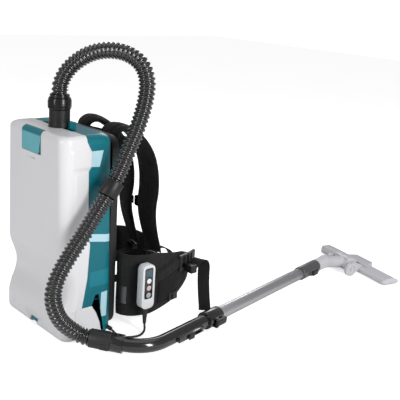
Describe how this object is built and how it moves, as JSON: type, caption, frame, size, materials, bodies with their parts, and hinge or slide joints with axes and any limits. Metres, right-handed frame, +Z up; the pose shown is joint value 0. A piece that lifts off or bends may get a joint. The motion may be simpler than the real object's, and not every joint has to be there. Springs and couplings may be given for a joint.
{
  "type": "backpack vacuum cleaner",
  "caption": "Battery backpack vacuum cleaner: opening dust cover, padded harness, ribbed hose, bent grip, telescopic wand, tilting floor nozzle and button handset.",
  "frame": {"origin": "middle of the flat base of the pack, on the floor", "axes": "+Z up, -Y out of the dust cover, +Y towards the wearer's back, +X across the pack to the side where the wand lies"},
  "size_m": [0.5627, 1.2715, 0.7486],
  "materials": {
    "white_shell": "moulded, semi gloss",
    "teal_shell": "moulded, satin",
    "teal_trim": "moulded, satin",
    "steel": "zinc plated",
    "seal_rubber": "matt",
    "black_plastic": "moulded, fine texture",
    "grip_gloss": "moulded, glossy",
    "cuff_rubber": "soft, ribbed",
    "hose_black": "corrugated, satin",
    "cable_black": "smooth",
    "holder_card": "pressed card",
    "bag_fleece": "non-woven fleece",
    "filter_media": "pleated paper",
    "grey_plastic": "moulded, satin",
    "panel_dark": "smooth",
    "button_white": "smooth",
    "button_rose": "smooth",
    "board_green": "coated board",
    "terminal_brass": "plated",
    "pad_fabric": "padded polyester",
    "webbing": "woven webbing",
    "pipe_aluminium": "brushed, anodised",
    "nozzle_grey": "moulded, satin"
  },
  "bodies": {
    "root": {"hinge_pin": "steel", "main_housing": "teal_shell", "side_cover_left": "white_shell", "side_cover_right": "white_shell", "housing_screws": "steel", "inlet_flange": "black_plastic", "inlet_cuff": "black_plastic", "bag_holder": "holder_card", "dust_bag": "bag_fleece", "filter_frame": "grey_plastic", "hepa_filter": "filter_media", "motor_unit": "black_plastic", "motor_ring": "seal_rubber", "controller_board": "board_green", "battery_left": "black_plastic", "battery_right": "black_plastic", "battery_terminals": "terminal_brass", "back_frame": "black_plastic", "back_pad": "pad_fabric", "shoulder_strap_left": "pad_fabric", "shoulder_strap_right": "pad_fabric", "strap_webbing": "webbing", "strap_buckles": "black_plastic", "sternum_strap": "webbing", "sternum_buckle": "black_plastic", "belt_wing_left": "pad_fabric", "belt_wing_right": "pad_fabric", "belt_webbing": "webbing", "belt_buckles": "black_plastic", "hose_holder": "black_plastic", "handset_body": "grey_plastic", "handset_panel": "panel_dark", "handset_clip": "black_plastic", "handset_grommet": "seal_rubber", "handset_cable": "cable_black", "cable_gland": "seal_rubber", "hose": "hose_black", "grip": "grip_gloss", "outer_pipe": "pipe_aluminium", "lock_sleeve": "grey_plastic"},
    "cover": {"front_cover": "white_shell", "latch_pin": "steel", "cover_gasket": "seal_rubber"},
    "latch": {"cover_latch": "teal_trim"},
    "collar": {"inlet_collar": "black_plastic"},
    "battery_key_left": {"battery_button_left": "teal_trim"},
    "battery_key_right": {"battery_button_right": "teal_trim"},
    "key_power": {"button_power": "button_white"},
    "key_mode": {"button_mode": "button_rose"},
    "key_eco": {"button_eco": "grey_plastic"},
    "swivel": {"hose_swivel": "cuff_rubber"},
    "suction": {"suction_slider": "black_plastic"},
    "clamp": {"clamp_lever": "black_plastic"},
    "lock": {"lock_slider": "black_plastic"},
    "inner": {"inner_pipe": "pipe_aluminium"},
    "neck": {"nozzle_neck": "nozzle_grey"},
    "head": {"nozzle_head": "nozzle_grey", "nozzle_sole": "black_plastic"},
    "wheel_left": {"wheel_left": "nozzle_grey"},
    "wheel_right": {"wheel_right": "nozzle_grey"}
  },
  "joints": [
    {"name": "cover_hinge", "type": "hinge", "parent": "root", "child": "cover", "pos_m": [0, -0.061, 0.014], "axis": [1, 0, 0], "range_deg": [0, 75]},
    {"name": "latch_hinge", "type": "hinge", "parent": "cover", "child": "latch", "pos_m": [-0.01, -0.07, 0.477], "axis": [1, 0, 0], "range_deg": [0, 35], "stiffness_Nm_per_rad": 0.6},
    {"name": "collar_twist", "type": "hinge", "parent": "root", "child": "collar", "pos_m": [0, 0, 0.588], "axis": [0, 0, 1], "range_deg": [0, 30]},
    {"name": "battery_release_left", "type": "slide", "parent": "root", "child": "battery_key_left", "axis": [0, -1, 0], "range_m": [0, 0.0026], "stiffness_N_per_m": 600},
    {"name": "battery_release_right", "type": "slide", "parent": "root", "child": "battery_key_right", "axis": [0, -1, 0], "range_m": [0, 0.0026], "stiffness_N_per_m": 600},
    {"name": "press_power", "type": "slide", "parent": "root", "child": "key_power", "axis": [-1, 0, 0], "range_m": [0, 0.0012], "stiffness_N_per_m": 500},
    {"name": "press_mode", "type": "slide", "parent": "root", "child": "key_mode", "axis": [-1, 0, 0], "range_m": [0, 0.0012], "stiffness_N_per_m": 500},
    {"name": "press_eco", "type": "slide", "parent": "root", "child": "key_eco", "axis": [-1, 0, 0], "range_m": [0, 0.0012], "stiffness_N_per_m": 500},
    {"name": "swivel_spin", "type": "hinge", "parent": "root", "child": "swivel", "pos_m": [0.256, -0.03354, 0.04888], "axis": [0.7628, 0.6422, -0.0755], "continuous": true},
    {"name": "suction_slide", "type": "slide", "parent": "root", "child": "suction", "axis": [-0.1736, 0.9848, 0], "range_m": [0, 0.028]},
    {"name": "clamp_hinge", "type": "hinge", "parent": "root", "child": "clamp", "pos_m": [0.33187, 0.28693, 0.03747], "axis": [-0.0858, -0.0151, -0.9962], "range_deg": [0, 60]},
    {"name": "lock_slide", "type": "slide", "parent": "root", "child": "lock", "axis": [-0.1736, 0.9848, 0], "range_m": [0, 0.0075], "stiffness_N_per_m": 400},
    {"name": "telescope", "type": "slide", "parent": "root", "child": "inner", "axis": [-0.1736, 0.9848, 0], "range_m": [0, 0.28]},
    {"name": "neck_swivel", "type": "hinge", "parent": "inner", "child": "neck", "pos_m": [0.20201, 0.85704, 0.04], "axis": [-0.1736, 0.9848, 0], "range_deg": [-60, 60]},
    {"name": "nozzle_tilt", "type": "hinge", "parent": "neck", "child": "head", "pos_m": [0.2145, 0.98954, 0.028], "axis": [0.9744, -0.225, 0], "range_deg": [0, 80]},
    {"name": "wheel_left_spin", "type": "hinge", "parent": "head", "child": "wheel_left", "pos_m": [0.16027, 0.98358, 0.021], "axis": [0.9744, -0.225, 0], "continuous": true},
    {"name": "wheel_right_spin", "type": "hinge", "parent": "head", "child": "wheel_right", "pos_m": [0.26063, 0.96041, 0.021], "axis": [0.9744, -0.225, 0], "continuous": true}
  ]
}
